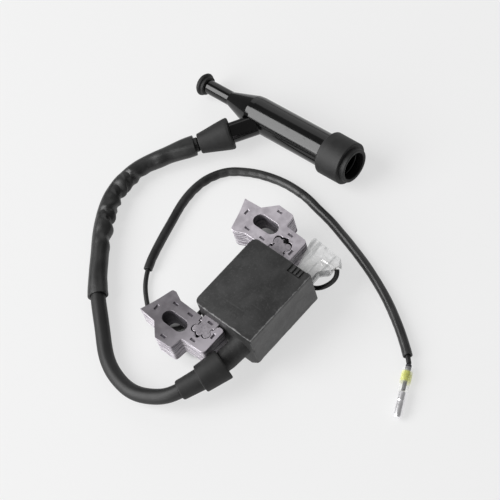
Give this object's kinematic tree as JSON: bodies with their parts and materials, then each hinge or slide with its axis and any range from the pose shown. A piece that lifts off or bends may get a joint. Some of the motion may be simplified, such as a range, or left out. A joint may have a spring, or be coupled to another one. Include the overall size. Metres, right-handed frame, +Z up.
{
  "type": "ignition coil",
  "caption": "Small-engine ignition coil: potted coil on a laminated U core with slotted legs, high-tension lead with plug cap, and kill lead with bullet terminal.",
  "frame": {"origin": "bottom centre of the fixed part (core and coil body) as it lies flat, z = 0 on the table", "axes": "+X from the high-tension outlet end to the blade terminal end, +Y towards the flywheel, +Z up through the core sheets"},
  "size_m": [0.1582, 0.189, 0.0254],
  "materials": {
    "laminated_steel": "oiled silicon-steel sheets, worn",
    "housing_plastic": "moulded glass-filled nylon, scuffed",
    "resin": "cast potting resin",
    "bobbin_plastic": "moulded",
    "enamelled_copper": null,
    "board": "glass-epoxy laminate",
    "package": "moulded epoxy",
    "ceramic": "fired ceramic",
    "brass": "turned",
    "tinned_brass": "tin plate, slightly dull",
    "clear_cover": null,
    "tinted_cover": "clear vinyl gone slightly yellow",
    "lead_jacket": "smooth black insulation",
    "pvc_sleeve": "black vinyl tube, slightly wrinkled",
    "rubber": "matt moulded rubber",
    "phenolic": "glossy phenolic",
    "spring_steel": "bright wire"
  },
  "bodies": {
    "coil": {"core_leg_terminal_side": "laminated_steel", "core_leg_ht_side": "laminated_steel", "core_limb": "laminated_steel", "coil_housing": "housing_plastic", "potting_resin": "resin", "primary_bobbin": "bobbin_plastic", "primary_winding": "enamelled_copper", "secondary_bobbin": "bobbin_plastic", "secondary_winding": "enamelled_copper", "control_board": "board", "power_transistor": "package", "trigger_capacitor": "ceramic", "ht_contact_pin": "brass", "blade_terminal": "tinned_brass", "flag_terminal": "tinned_brass", "flag_cover": "clear_cover", "ht_lead": "lead_jacket", "ht_lead_sleeve": "pvc_sleeve", "kill_lead": "lead_jacket", "kill_lead_sleeve": "pvc_sleeve", "bullet_terminal": "tinned_brass", "outlet_boot": "rubber", "plug_cap": "phenolic", "lead_screw": "brass", "suppressor_resistor": "ceramic", "contact_spring": "spring_steel", "contact_rod": "brass", "plug_terminal": "brass", "neck_knob": "rubber", "plug_seal": "rubber", "lead_boot": "rubber"},
    "sliding_sleeve": {"bullet_sleeve": "tinted_cover"}
  },
  "joints": [
    {"name": "bullet_sleeve_slide", "type": "slide", "parent": "coil", "child": "sliding_sleeve", "axis": [-0.8879, -0.46, 0], "range_m": [0, 0.012]}
  ]
}
